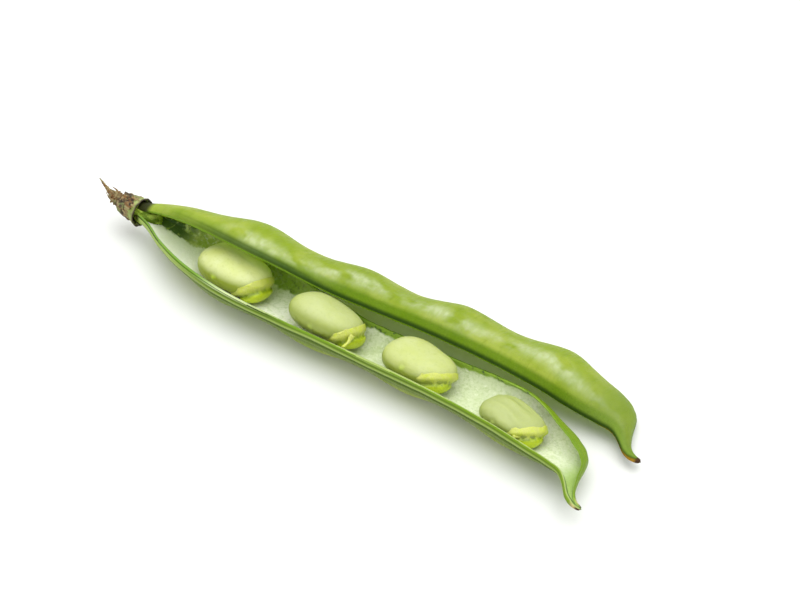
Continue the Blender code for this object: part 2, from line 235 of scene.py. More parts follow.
def eased(points, t, reach=3.5):
    """Straight lines through a few points, with their corners rounded off."""
    return sum(straight(points, t + step * reach) for step in (-1, -0.5, 0, 0.5, 1)) / 5


def hump(x, centre, reach):
    """One soft hump, 1 high."""
    return np.exp(-(((x - centre) / reach) ** 2))


def lumps(points, size, seed=0):
    """Soft random bumps about a size apart, between -1 and 1, at each of many points."""
    flat = np.asarray(points, float).reshape(-1, 3) / size + seed * 7.31
    return np.array([noise.noise(p) for p in flat]).reshape(np.shape(points)[:-1])


def frame_at(half, t):
    """Where a half's mouth is at each station: its middle, the way across and the way up."""
    t = np.asarray(t, float)
    near = curve(BEAN_EDGE, t)
    far = curve(BACK_EDGE, t) + eased(half["splay"], t, 1.0)
    roll = np.radians(curve(half["roll"], t))
    yaw = math.radians(half["yaw"])
    turn = np.array(Matrix.Rotation(yaw, 3, "Z"))
    place = np.stack([t, (near + far) / 2 + curve(half["shift"], t),
                      curve(half["height"], t) - NECK.z], -1)
    zero = np.zeros_like(t)
    over = np.stack([zero, np.cos(roll), -np.sin(roll)], -1)
    up = np.stack([zero, np.sin(roll), np.cos(roll)], -1) * half["facing"]
    return np.array(NECK) + place @ turn.T, over @ turn.T, up @ turn.T, near, far


def swelling(t):
    """1 beside each bean, and 0 between them."""
    return sum(hump(t, place, BULGE_REACH) for place in BEAN_STATIONS)


def hollow_depth(t):
    """How deep the lining lies under the rims: deepest at the beans."""
    return eased(INNER_DEPTH, t) * (1 - HOLLOW_AT_BEANS + HOLLOW_AT_BEANS * swelling(t))


def half_surface(half, t, s):
    """Points of a half. s runs 0 to 1 over the skin, 1 to 2 over the back rim, 2 to 3 over the
    lining and 3 to 4 over the rim that carries the beans."""
    origin, over, up, near, far = (a[:, None] for a in frame_at(half, t))
    t = t[:, None]
    s = s[None, :]
    width = (far - near) / 2
    curl = np.radians(eased(half["curl"], t))
    depth = half["plump"] * eased(OUTER_DEPTH, t) * (1 - BULGE_SHARE + BULGE_SHARE * swelling(t))
    wall = np.minimum(EDGE_WALL, 0.8 * width)
    bead = np.minimum(EDGE_BEAD, 0.35 * width)
    hollow = hollow_depth(t)
    end = math.pi + curl

    def arc(w, d, angle, fullness=1.0):
        lift = np.where(angle > math.pi, CURL_LIFT * w, d)
        return np.stack(np.broadcast_arrays(
            -w * np.cos(angle),
            -np.sign(np.sin(angle)) * lift * np.abs(np.sin(angle)) ** fullness), -1)

    def seam(share, way):
        return way * bead[..., None] * np.sin(math.pi * share) ** BEAD_ROUND

    skin = arc(width, depth, end * np.clip(s, 0, 1), half["fullness"])
    lining = arc(width - wall, hollow, end * np.clip(3 - s, 0, 1))
    lean = np.stack(np.broadcast_arrays(-np.sin(curl), np.cos(curl)), -1)
    back = np.clip(s - 1, 0, 1)[..., None]
    back_rim = skin[:, -1:] * (1 - back) + lining[:, :1] * back + seam(back, lean)
    bean = np.clip(s - 3, 0, 1)[..., None]
    bean_rim = lining[:, -1:] * (1 - bean) + skin[:, :1] * bean + seam(bean, np.array((0.0, 1.0)))
    zone = s[..., None]
    flat = np.where(zone <= 1, skin, np.where(zone < 2, back_rim,
                                              np.where(zone <= 3, lining, bean_rim)))
    past = ((t - POD_LENGTH + TIP_ROUND) / TIP_ROUND).clip(0, 1)
    flat = flat * np.sqrt(np.clip(1 - past ** 2, 0.03, 1))[..., None]
    return origin + over * flat[..., :1] + up * flat[..., 1:]


def half_relief(half, t, s, points):
    """How far the wall's cords, folds, torn edge and down stand out, in millimetres, and what its
    colours follow: the distance from each rim (less than 0 on the lining), the torn flesh, the
    cords, the crest where a highlight is painted, and the half that lies face down."""
    steps = np.linalg.norm(np.diff(points, axis=1, append=points[:, :1]), axis=-1)
    run = np.cumsum(steps, axis=1) - steps
    whole = steps.sum(axis=1, keepdims=True)
    s = s[None, :]
    t = np.broadcast_to(t[:, None], run.shape)
    at = lambda place: run[:, [int(np.argmin(abs(s[0] - place)))]]
    # how far each point is from both rims, round the section
    bean_out = np.where(s < 1.5, run + whole - at(3.5), run - at(3.5)) - curve(half["cord_drift"], t)
    back_out = at(1.5) - run
    # the relief fades out at both ends of the pod
    fade = np.clip(t / 12, 0, 1) * np.clip((POD_LENGTH - t) / 10, 0, 1)
    side = np.stack([t, run, np.full_like(t, 40.0 * half["facing"])], -1)
    skin = np.clip((s < 1.01) * 1.0 + (s > 3.5), 0, 1)
    lining = np.clip(np.minimum(s - 1.9, 3.1 - s) * 6, 0, 1)
    corded = straight(half["corded"], t)
    cord = corded * sum(rise * hump(bean_out, place, reach) for place, rise, reach in BEAN_CORDS)
    back_cord = sum(rise * hump(back_out, place, reach) for place, rise, reach in BACK_CORDS)
    folds = lumps(side * (1, 0.16, 1), 1.3, 1) * (0.5 + 0.5 * lumps(side, 9, 2))
    swells = lumps(side, 7, 3)
    # where the flesh tore, beside the back rim
    ragged = 0.9 * lumps(side, 3.4, 4) + 0.7 * lumps(side, 1.2, 5)
    torn_width = eased(half["torn"], t) + (0.35 + 0.16 * eased(half["torn"], t)) * ragged
    torn = np.clip((torn_width + back_out) / 0.35, 0, 1) * (s > 1.5) * (back_out < 0) * (s < 3.2)
    # the lining's down, the torn flesh, and all of it together
    down = 0.05 * lumps(side, 0.9, 6) + 0.09 * lumps(side, 3.2, 7)
    flesh = 0.09 * lumps(side, 1.0, 8) + 0.10 * lumps(side, 2.6, 10) - 0.12
    relief = skin * (fade * cord + fade * back_cord + 0.035 * folds + 0.12 * swells * fade)
    relief = relief + lining * (down * (1 - torn) + flesh * torn)
    rim_chips = hump(back_out, 0, 0.8) * (0.12 + 0.28 * (half["facing"] > 0) * hump(t, 20, 45))
    relief = relief + fade * rim_chips * lumps(side * (1, 0.2, 1), 1.5, 9)
    # where a highlight is painted: a band on the crest, strongest by the swellings
    crest = hump(s, curve(half["crest"], t), 0.08) * (0.6 + 0.4 * np.clip(swelling(t), 0, 1))
    under = np.full_like(t, float(half["facing"] < 0))
    return relief, {"bean_out": bean_out, "back_out": back_out, "torn": torn, "corded": corded,
                    "crest": crest * straight(HIGHLIGHT_SPAN, t), "under": under, "neck": np.zeros_like(t)}


def rolled(points, guides=()):
    """A plain grid rolled up into a closed body. points has a row for each station and a column
    for each place round it, and guides are named values that go with the points."""
    rows, columns = points.shape[:2]
    bm = bmesh.new()
    bmesh.ops.create_grid(bm, x_segments=rows - 1, y_segments=columns, size=1)
    layers = [(bm.verts.layers.float.new(name), values) for name, values in dict(guides).items()]
    for v in bm.verts:
        i = round((v.co.x + 1) / 2 * (rows - 1))
        j = round((v.co.y + 1) / 2 * columns) % columns
        v.co = points[i, j]
        for layer, values in layers:
            v[layer] = values[i, j]
    bmesh.ops.remove_doubles(bm, verts=bm.verts, dist=0.0005)
    bmesh.ops.holes_fill(bm, edges=[e for e in bm.edges if e.is_boundary], sides=0)
    bmesh.ops.recalc_face_normals(bm, faces=bm.faces)
    return bm


def joined(bm, other):
    """Adds one bmesh to another of the same piece."""
    mesh = bpy.data.meshes.new("joined")
    other.to_mesh(mesh)
    other.free()
    bm.from_mesh(mesh)
    bpy.data.meshes.remove(mesh)


def half_wall(half, t, s):
    """A half of the pod, with its lining's faces painted as lining."""
    points = half_surface(half, t, s)
    relief, guides = half_relief(half, t, s, points)
    around = np.roll(points, -1, axis=1) - np.roll(points, 1, axis=1)
    normal = np.cross(np.gradient(points, axis=0), around)
    normal /= np.linalg.norm(normal, axis=-1, keepdims=True)
    centre = points.mean(axis=1, keepdims=True)
    outward = np.sign((normal * (points - centre))[:, : len(s) // 3].sum())
    points = points + normal * outward * (relief[..., None] - WALL_SINK)
    points[..., 2] = np.maximum(points[..., 2], 0.0)
    bm = rolled(points, {"along": np.broadcast_to(t[:, None], relief.shape), **guides})
    rims = [bm.verts.layers.float[name] for name in ("bean_out", "back_out")]
    for face in bm.faces:
        face.material_index = int(all(v[rim] < 0.05 for v in face.verts for rim in rims))
    return bm


def patches_group():
    """Soft-edged patches of a size, cut out of a cloud of noise."""
    group = bpy.data.node_groups.new("patches", "ShaderNodeTree")
    group.interface.new_socket("Place", in_out="INPUT", socket_type="NodeSocketVector")
    for name in ("Scale", "From", "To", "Detail"):
        group.interface.new_socket(name, in_out="INPUT", socket_type="NodeSocketFloat")
    group.interface.new_socket("Mask", in_out="OUTPUT", socket_type="NodeSocketFloat")
    given = group.nodes.new("NodeGroupInput")
    cloud = node(group, "ShaderNodeTexNoise", {
        "Vector": given.outputs["Place"], "Scale": given.outputs["Scale"],
        "Detail": given.outputs["Detail"], "Roughness": 0.6})
    shaped = node(group, "ShaderNodeMapRange", {
        "Value": cloud.outputs["Fac"], "From Min": given.outputs["From"],
        "From Max": given.outputs["To"]}, interpolation_type="SMOOTHSTEP")
    node(group, "NodeGroupOutput", {"Mask": shaped.outputs["Result"]})
    return group


patches = patches_group()


def patch(tree, place, scale, low, high, detail=3.0):
    """A mask of patches: scale is how many fit in a metre, and the mask grows from 0 to 1 where
    their cloud passes from low to high."""
    return node(tree, "ShaderNodeGroup", {
        "Place": place, "Scale": scale, "From": low, "To": high, "Detail": detail},
        node_tree=patches).outputs["Mask"]


def stretched(tree, x=1.0, y=1.0, z=1.0):
    """The piece's own coordinates, squeezed along an axis so that a pattern runs across it."""
    own = node(tree, "ShaderNodeTexCoord", {})
    return node(tree, "ShaderNodeMapping", {
        "Vector": own.outputs["Object"], "Scale": (x, y, z)}).outputs["Vector"]


def spread(tree, value, low, high, out_low=0.0, out_high=1.0):
    """A value's run from low to high, eased into a run from out_low to out_high."""
    return node(tree, "ShaderNodeMapRange", {
        "Value": value, "From Min": low, "From Max": high, "To Min": out_low, "To Max": out_high},
        interpolation_type="SMOOTHSTEP").outputs["Result"]


def times(tree, *values):
    """The product of a few values or masks."""
    product = values[0]
    for value in values[1:]:
        product = node(tree, "ShaderNodeMath", {0: product, 1: value},
                       operation="MULTIPLY").outputs["Value"]
    return product


def plus(tree, one, two):
    """The sum of two values."""
    return node(tree, "ShaderNodeMath", {0: one, 1: two}, operation="ADD").outputs["Value"]


def painted(tree, base, *coats):
    """A colour with coats of others over it. Each is a tone and the masks inside which it shows."""
    for tone, *masks in coats:
        base = node(tree, "ShaderNodeMix", {"Factor": times(tree, *masks), "A": base, "B": tone},
                    data_type="RGBA").outputs["Result"]
    return base


def guide(tree, name):
    """A value that the piece's own points carry."""
    return node(tree, "ShaderNodeAttribute", {}, attribute_name=name).outputs["Fac"]


def bands(tree, value, low, high, stops):
    """Colours side by side along a value. Each stop is a value, a colour and how much it covers."""
    along = node(tree, "ShaderNodeMapRange", {"Value": value, "From Min": low, "From Max": high})
    ramp = node(tree, "ShaderNodeValToRGB", {"Fac": along.outputs["Result"]})
    elements = ramp.color_ramp.elements
    while len(elements) < len(stops):
        elements.new(0.5)
    for element, (place, tone, cover) in zip(elements, stops):
        element.position = (place - low) / (high - low)
        element.color = (*tone[:3], cover)
    return ramp.outputs["Color"], ramp.outputs["Alpha"]


def raised(tree, relief, depth, strength):
    """The normals of a relief that is too fine to model, with its depth in metres."""
    return node(tree, "ShaderNodeBump", {
        "Height": relief, "Distance": depth, "Strength": strength}).outputs["Normal"]


def lit_through(tree, shader, tone, share):
    """Lets some of the light on one side of a thin wall come out on its other side."""
    through = node(tree, "ShaderNodeBsdfTranslucent", {"Color": tone})
    both = node(tree, "ShaderNodeMixShader", {
        0: share, 1: shader.outputs["BSDF"], 2: through.outputs["BSDF"]})
    fed(tree, tree.nodes["Material Output"], {"Surface": both.outputs["Shader"]})


SKIN_GREEN = colour(152, 174, 40)
SKIN_DEEP = colour(118, 142, 18)
SKIN_PALE = colour(180, 194, 74)
SKIN_SHADE = colour(92, 126, 4)
SKIN_SIDE_SHADE = colour(102, 122, 54)
SKIN_HIGHLIGHT = colour(218, 228, 176)
SKIN_FOOT = colour(156, 178, 84)
SKIN_BEAK = colour(124, 148, 60)
RIM_WHITE = colour(206, 218, 166)
RIM_PALE = colour(156, 174, 88)
RIM_VIVID = colour(106, 146, 4)
RIM_SHADE = colour(42, 70, 4)
BACK_SHADE = colour(44, 68, 4)
BAND_GREEN = colour(112, 142, 20)
NECK_PALE = colour(160, 184, 66)
NECK_DARK = colour(86, 112, 12)
FOOT_DEEP_SHADE = colour(44, 44, 12)
FOOT_SHADE = colour(40, 42, 10)
SUTURE_ORANGE = colour(164, 122, 30)
BEAK_PALE = colour(186, 172, 120)
BEAK_BROWN = colour(70, 44, 26)
SKIN_GLOW = colour(196, 212, 46)
# Tones by the rims: how far from the rim, the colour, and how much it covers.
BEAN_CORD_TONES = (
    (0.3, colour(106, 132, 36), 1.0), (0.95, colour(96, 122, 26), 1.0),
    (1.45, colour(164, 184, 96), 0.95), (2.1, colour(74, 98, 24), 0.95),
    (2.5, colour(78, 100, 30), 0.9), (3.0, colour(116, 134, 66), 0.6),
    (3.6, colour(84, 104, 38), 0.6), (4.6, SKIN_SIDE_SHADE, 0.0))
# On the upper half, the darkest tones at the rim are painted shade where its edge is turned down.
UPPER_CORD_AND_SHADE_TONES = (
    (0.0, colour(20, 44, 2), 1.0), (0.5, colour(24, 48, 2), 1.0), (1.0, colour(72, 98, 26), 1.0),
    (1.5, colour(36, 66, 16), 1.0), (2.3, colour(48, 80, 20), 0.9),
    (3.8, colour(100, 128, 40), 0.0))
BACK_CORD_TONES = (
    (-0.7, colour(114, 148, 28), 1.0), (0.2, colour(78, 114, 18), 1.0),
    (0.8, colour(104, 138, 36), 0.6), (1.3, colour(76, 108, 18), 0.6),
    (2.2, colour(100, 132, 30), 0.0))

skin, tree, shader = finish_named("pod_skin", Subsurface_Weight=0.12, Subsurface_Scale=0.001,
                                  Subsurface_Radius=(0.7, 1.0, 0.2), Specular_IOR_Level=0.18)
own = stretched(tree)
across = stretched(tree, 3.0, 0.7, 0.7)
along, bean_out, back_out = (guide(tree, name) for name in ("along", "bean_out", "back_out"))
corded = guide(tree, "corded")
upper = guide(tree, "under")
lower = spread(tree, upper, 1, 0)
shade = times(tree, spread(tree, bean_out, 5.4, 3.6), upper, spread(tree, along, 34, 76, 0.4, 0.88))
# patches and streaks of painted highlight along the upper half's crest
highlight_patches = patch(tree, stretched(tree, 1.0, 1.5, 1.5), 160, 0.34, 0.6, 1.5)
highlight_streaks = patch(tree, stretched(tree, 1.8, 1.0, 1.0), 460, 0.3, 0.7, 1.0)
bean_cords, bean_cover = bands(tree, bean_out, 0.0, 5.0, BEAN_CORD_TONES)
upper_cords_and_shade, upper_cover = bands(tree, bean_out, -1.0, 5.0, UPPER_CORD_AND_SHADE_TONES)
back_cords, back_cover = bands(tree, back_out, -1.0, 3.0, BACK_CORD_TONES)
rim_top = painted(tree, RIM_WHITE, (RIM_PALE, spread(tree, along, 34, 66)),
                  (RIM_VIVID, spread(tree, along, 44, 30)))
lobes = painted(tree, NECK_PALE,
                (NECK_DARK, patch(tree, stretched(tree, 0.6, 1.0, 1.0), 480, 0.42, 0.58)))
base = painted(
    tree, SKIN_GREEN,
    # cloudy, with fine creases across it
    (SKIN_PALE, patch(tree, own, 90, 0.38, 0.66)),
    (SKIN_DEEP, patch(tree, across, 260, 0.5, 0.78), 0.45),
    (SKIN_DEEP, patch(tree, own, 1500, 0.55, 0.75), 0.3),
    # painted shade on the side below the bean rims, and a painted highlight on the swellings
    (SKIN_SIDE_SHADE, spread(tree, bean_out, 9.0, 3.0), lower, 0.85),
    (SKIN_SHADE, shade),
    (SKIN_HIGHLIGHT, highlight_patches, spread(tree, highlight_streaks, 0, 1, 0.66, 1.0), guide(tree, "crest")),
    (SKIN_BEAK, spread(tree, along, 136, 150), 0.6),
    # the lower half's cords and the pale top of its rim
    (bean_cords, bean_cover, lower, corded),
    (SKIN_FOOT, spread(tree, along, 42, 18), lower, spread(tree, bean_out, 2.6, 1.2)),
    (rim_top, spread(tree, bean_out, 0.5, 0.15), spread(tree, along, 5, 14), lower),
    # the upper half's cords by the neck, darkest at the rim with painted shade, and painted shade on
    # its rim after them
    (upper_cords_and_shade, upper_cover, upper, corded),
    (RIM_SHADE, spread(tree, bean_out, 2.6, 1.4), spread(tree, along, 36, 64), upper),
    # both back rims, with painted shade on them under the upper half, and the side that curls in
    (back_cords, back_cover),
    (BACK_SHADE, back_cover, lower, spread(tree, along, 66, 54)),
    (BAND_GREEN, spread(tree, back_out, 7.0, 4.0), spread(tree, along, 112, 130), lower, 0.85),
    # the neck, and painted shade on its foot inside the calyx
    (lobes, guide(tree, "neck")),
    (FOOT_DEEP_SHADE, spread(tree, along, 3.4, 1.2)),
    (FOOT_SHADE, spread(tree, along, 5.5, 3.0), upper),
    # the upper beak's dry seam, and both tips
    (SUTURE_ORANGE, spread(tree, along, 146, 159), spread(tree, bean_out, 1.3, 0.7), upper),
    (SUTURE_ORANGE, spread(tree, along, 157, 160.5), spread(tree, bean_out, 1.9, 1.1), upper),
    (BEAK_PALE, spread(tree, along, 160.5, 162.5), lower),
    (BEAK_BROWN, spread(tree, along, 162.6, 163.5)))
rough = plus(tree, spread(tree, patch(tree, across, 420, 0.3, 0.7), 0, 1, 0.28, 0.46),
             times(tree, shade, 0.5))
wrinkles = plus(tree, patch(tree, across, 700, 0.2, 0.8),
                times(tree, patch(tree, own, 2600, 0.2, 0.8), 0.35))
fed(tree, shader, {"Base Color": base, "Roughness": rough,
                   "Normal": raised(tree, wrinkles, 0.00012, 0.8)})
lit_through(tree, shader, SKIN_GLOW, times(tree, spread(tree, upper, 0, 1, 0.06, 0.4),
                                           spread(tree, bean_out, 2, 6, 0.2, 1.0)))

LINING_WHITE = colour(244, 248, 224)
LINING_GREEN = colour(176, 194, 124)
LINING_BEAK = colour(150, 178, 84)
LINING_LINE = colour(76, 108, 10)
LINING_SHADE = colour(24, 48, 2)
LINING_GLOW = colour(200, 222, 44)
TORN_GREEN = colour(204, 216, 124)
TORN_DEEP = colour(160, 182, 66)
TORN_PALE = colour(214, 224, 180)
TORN_VIVID = colour(136, 170, 28)
TORN_DARK = colour(60, 92, 6)

lining, tree, shader = finish_named("pod_lining", Subsurface_Weight=0.3, Subsurface_Scale=0.0012,
                                    Subsurface_Radius=(0.9, 1.0, 0.6), Sheen_Weight=0.15,
                                    Sheen_Roughness=0.6)
own = stretched(tree)
along, bean_out, torn = (guide(tree, name) for name in ("along", "bean_out", "torn"))
upper = guide(tree, "under")
greener = times(tree, spread(tree, along, 20, 70, 0.15, 1.0), spread(tree, along, 112, 134, 1.0, 0.8))
vivid = painted(tree, TORN_VIVID, (TORN_DARK, patch(tree, own, 700, 0.52, 0.7)))
flesh = painted(
    tree, TORN_GREEN,
    (TORN_DEEP, patch(tree, own, 320, 0.4, 0.6)),
    (TORN_PALE, patch(tree, own, 900, 0.5, 0.66), 0.6),
    # dark by the neck, and vivid from the first bean on
    (TORN_DARK, spread(tree, along, 20, 12), patch(tree, own, 420, 0.35, 0.5)),
    (vivid, spread(tree, along, 38, 48), 0.7),
    (vivid, spread(tree, along, 60, 76)))
rim_top = painted(tree, RIM_WHITE, (RIM_PALE, spread(tree, along, 34, 66)),
                  (RIM_VIVID, spread(tree, along, 46, 32)))
base = painted(
    tree, LINING_WHITE,
    # greener from the second bean on
    (LINING_GREEN, patch(tree, own, 140, 0.45, 0.75), greener, 0.6),
    (LINING_GREEN, spread(tree, along, 62, 92), spread(tree, along, 138, 116), 0.5),
    (LINING_GREEN, spread(tree, along, 132, 148), 0.35),
    (LINING_GREEN, patch(tree, own, 1100, 0.46, 0.64), greener, 0.5),
    (LINING_WHITE, patch(tree, own, 700, 0.56, 0.7), 0.6),
    (LINING_BEAK, spread(tree, along, 148, 157)),
    (TORN_VIVID, upper, 0.75),
    (flesh, torn),
    # the line below the bean rim, the rim's top, and painted shade on the upper half's near edge
    (LINING_LINE, spread(tree, bean_out, -1.7, -1.4), spread(tree, bean_out, -0.9, -1.2),
     spread(tree, along, 40, 70)),
    (rim_top, spread(tree, bean_out, -1.1, -0.8)),
    (RIM_VIVID, spread(tree, bean_out, -2.0, -1.7), spread(tree, bean_out, -0.5, -0.8),
     spread(tree, along, 46, 32)),
    (LINING_SHADE, spread(tree, bean_out, -4.0, -2.2), upper))
fed(tree, shader, {"Base Color": base, "Roughness": spread(tree, torn, 0, 1, 0.8, 0.5),
                   "Normal": raised(tree, patch(tree, own, 1800, 0.2, 0.8, 4.0), 0.00018, 0.7)})
lit_through(tree, shader, LINING_GLOW, times(tree, spread(tree, upper, 0, 1, 0.05, 0.6),
                                             spread(tree, bean_out, -2.0, -4.5, 0.1, 1.0)))

# Runs of points round the wall's section and along it: from, to and how many. They stand
# closest by the rims and in the beaks.
ROUND_RUNS = ((0, 0.1, 14), (0.122, 0.88, 34), (0.9, 1, 11), (1, 2, 10), (2, 2.1, 8),
              (2.125, 2.9, 34), (2.92, 3, 6), (3, 4, 12))
LENGTH_RUNS = ((0, 140, 236), (140.5, POD_LENGTH, 54))
PLACES = np.unique(np.concatenate([np.linspace(*run) for run in ROUND_RUNS]))[:-1]
STATIONS = np.concatenate([np.linspace(*run) for run in LENGTH_RUNS])

pod_bm = half_wall(LOWER, STATIONS, PLACES)
joined(pod_bm, half_wall(UPPER, STATIONS, PLACES))

# the neck, where both halves are still one
neck_bm = bmesh.new()
bmesh.ops.create_uvsphere(neck_bm, u_segments=NECK_STEPS, v_segments=NECK_STEPS // 2, radius=1)
bmesh.ops.rotate(neck_bm, matrix=Matrix.Rotation(math.pi / 2, 3, "Y"), verts=neck_bm.verts)
for v in neck_bm.verts:
    v.co *= 0.97 + 0.10 * noise.noise(v.co * Vector((2.5, 4, 4))) + 0.09 * noise.noise(v.co * 9)
bmesh.ops.scale(neck_bm, vec=NECK_SIZE, verts=neck_bm.verts)
bmesh.ops.translate(neck_bm, vec=NECK + Vector((NECK_SIZE[0] - 4, 0, 0)), verts=neck_bm.verts)
for name, value in dict(along=10.0, bean_out=8.0, back_out=8.0, torn=0.0, corded=0.0, crest=0.0,
                        under=0.0, neck=1.0).items():
    layer = neck_bm.verts.layers.float.new(name)
    for v in neck_bm.verts:
        v[layer] = value
joined(pod_bm, neck_bm)

pod = made_of("pod_wall", pod_bm, [skin, lining])
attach(pod, "root")
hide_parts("pod")


# The calyx.
# The green cup of the flower stays on at the pod's foot. It shrivels from its edge, so its mouth
# is a thin brown collar, and its dried sepals clasp the back of the cup.
CUP_STEPS = 96
CUP_RIBS = 10
CUP_FLOOR = -5.0
CUP_RADIUS = 3.7
# The cup's outline, from its foot round its mouth to its inside: how far from the neck, and how
# far from its own middle.
CUP_PROFILE = ((-7.4, 0.4), (-7.4, 1.5), (-7.1, 2.5), (-6.0, 3.05), (-4.2, 3.35), (-3.0, 3.5),
               (-2.0, 3.65), (-1.0, 3.7), (-0.4, 3.8), (0.0, 4.1), (0.45, 4.3), (0.72, 4.25),
               (0.75, 4.0), (0.3, 3.75), (-0.4, 3.45), (-1.6, 3.25), (-3.6, 2.9), (-5.0, 2.0),
               (-5.1, 0.5))
SEPAL_SEAT = 3.75
SEPAL_THICKNESS = 0.16
# Each sepal: its angle round the cup, its start and end along it, its width, and how far out
# its tip is.
SEPALS = ((95, -1.0, -7.2, 3.7, 2.6), (48, -1.8, -7.6, 3.9, 2.9), (140, -1.6, -7.4, 3.6, 2.4),
          (-52, -2.4, -7.2, 3.7, 2.6), (200, -2.0, -6.8, 3.6, 2.2), (10, -2.6, -7.8, 3.6, 2.2))
CUP_GREEN = colour(128, 146, 56)
CUP_PALE = colour(160, 172, 100)
DRY_BROWN = colour(122, 84, 42)
DRY_DARK = colour(56, 38, 24)
DRY_TAN = colour(160, 144, 100)
DRY_GREEN = colour(128, 140, 84)
COLLAR_BROWN = colour(64, 50, 26)


def blade(bm, angle, start, end, width, lift, seed):
    """A dry sepal from the cup's side to its tip behind: a thin, creased and curling blade."""
    made = bmesh.new()
    bmesh.ops.create_grid(made, x_segments=26, y_segments=12, size=1)
    for v in made.verts:
        s = (v.co.x + 1) / 2
        side = v.co.y
        half = width / 2 * (0.35 + 1.1 * s) ** 0.5 * (1 - s ** 3.5) ** 0.7 + 0.05
        crease = 0.30 * noise.noise(Vector((s * 5, side * 1.6, seed))) + 0.16 * noise.noise(
            Vector((s * 14, side * 3, seed + 5)))
        sway = 0.2 * noise.noise(Vector((s * 3, 0, seed + 9)))
        turn = math.radians(angle) + side * half / CUP_RADIUS + sway
        out = SEPAL_SEAT + (lift - SEPAL_SEAT) * s ** 1.4 + crease * (0.35 + s) - 0.25 * side * side
        v.co = NECK + Vector((start + (end - start) * s, out * math.cos(turn), out * math.sin(turn)))
    bmesh.ops.solidify(made, geom=made.faces[:], thickness=SEPAL_THICKNESS)
    bmesh.ops.recalc_face_normals(made, faces=made.faces)
    joined(bm, made)


calyx_paint, tree, shader = finish_named("calyx_dry", Subsurface_Weight=0.1, Subsurface_Scale=0.0008,
                                         Subsurface_Radius=(1.0, 0.8, 0.3))
own = stretched(tree)
lengthwise = stretched(tree, 0.35, 1.6, 1.6)
dried = guide(tree, "dryness")
dry = painted(tree, DRY_TAN, (DRY_BROWN, patch(tree, lengthwise, 900, 0.35, 0.62)),
              (DRY_DARK, patch(tree, own, 500, 0.47, 0.6)),
              (DRY_GREEN, patch(tree, own, 380, 0.52, 0.6), 0.7))
base = painted(tree, CUP_GREEN, (CUP_PALE, patch(tree, own, 320, 0.42, 0.6)),
               (DRY_BROWN, patch(tree, own, 420, 0.56, 0.64), 0.8),
               (dry, dried), (COLLAR_BROWN, guide(tree, "collar")))
fed(tree, shader, {"Base Color": base, "Roughness": spread(tree, dried, 0, 1, 0.5, 0.85),
                   "Normal": raised(tree, patch(tree, lengthwise, 1800, 0.2, 0.8), 0.00018, 0.9)})

calyx_bm = bmesh.new()
profile = [calyx_bm.verts.new((x, radius, 0)) for x, radius in CUP_PROFILE]
strip = [calyx_bm.edges.new(pair) for pair in zip(profile, profile[1:])]
bmesh.ops.subdivide_edges(calyx_bm, edges=strip, cuts=3, smooth=0.6)
bmesh.ops.spin(calyx_bm, geom=calyx_bm.verts[:] + calyx_bm.edges[:], cent=(0, 0, 0), axis=(1, 0, 0),
               angle=2 * math.pi, steps=CUP_STEPS, use_merge=True)
bmesh.ops.remove_doubles(calyx_bm, verts=calyx_bm.verts, dist=0.01)
bmesh.ops.holes_fill(calyx_bm, edges=[e for e in calyx_bm.edges if e.is_boundary], sides=0)
for v in calyx_bm.verts:
    radius = math.hypot(v.co.y, v.co.z)
    if radius < 0.6:
        # the few points at the cup's very middle stay where they are
        continue
    outward = Vector((0, v.co.y, v.co.z)) / radius
    ribs = 0.10 * math.sin(CUP_RIBS * math.atan2(v.co.z, v.co.y) + 1.5 * noise.noise(v.co * 0.5))
    pits = 0.26 * noise.noise(v.co * 1.9) * min(max(-v.co.x / 2, 0.3), 1)
    mouth_share = math.exp(-(((v.co.x - 0.7) / 0.9) ** 2))
    v.co += outward * (ribs + 0.30 * noise.noise(v.co * 0.7) + pits) * (1 - 0.5 * mouth_share)
    frayed = 0.35 * noise.noise(outward * 2.4) + 0.15 * noise.noise(outward * 7) - 0.25
    v.co.x += mouth_share * frayed
bmesh.ops.recalc_face_normals(calyx_bm, faces=calyx_bm.faces)
bmesh.ops.translate(calyx_bm, vec=NECK, verts=calyx_bm.verts)
dryness = calyx_bm.verts.layers.float.new("dryness")
collar = calyx_bm.verts.layers.float.new("collar")
for v in calyx_bm.verts:
    place = v.co - NECK
    radius = math.hypot(place.y, place.z)
    v[dryness] = min(max(-0.9 - place.x + 2.4 * noise.noise(place * 0.8), 0), 1)
    inside = place.x > CUP_FLOOR and radius < 3.45 + 0.1 * max(place.x, 0)
    v[collar] = max(0.9 * inside, math.exp(-(((place.x - 0.6) / 0.55) ** 2)))
cup_points = len(calyx_bm.verts)
for angle, start, end, width, lift in SEPALS:
    blade(calyx_bm, angle, start, end, width, lift, angle * 0.1)
calyx_bm.verts.ensure_lookup_table()
for v in calyx_bm.verts[cup_points:]:
    v[dryness] = 1.0
calyx = made_of("calyx_cup", calyx_bm, [calyx_paint])
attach(calyx, "root")
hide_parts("calyx")


# The stalk.
# What is left of the flower's stalk behind the calyx: a torn, dry and fibrous stump that ends in
# a thin spike and a few splinters.
STALK_STEPS = 9
STALK_SAG = Vector((0, 0, -0.8))
# Places are from the neck, and the stalk's radii stand at shares of its length.
STALK_END = Vector((-16.75, 1.4, 3.0))
STALK_RADII = ((0, 1.5), (0.15, 1.95), (0.32, 1.45), (0.45, 0.85), (0.58, 0.5), (0.8, 0.36),
               (1, 0.12))
SPLINTER_TAPER = (1, 0.8, 0.45)
SPLINTER_TIP = 0.06
STALK_GREEN = colour(110, 122, 70)
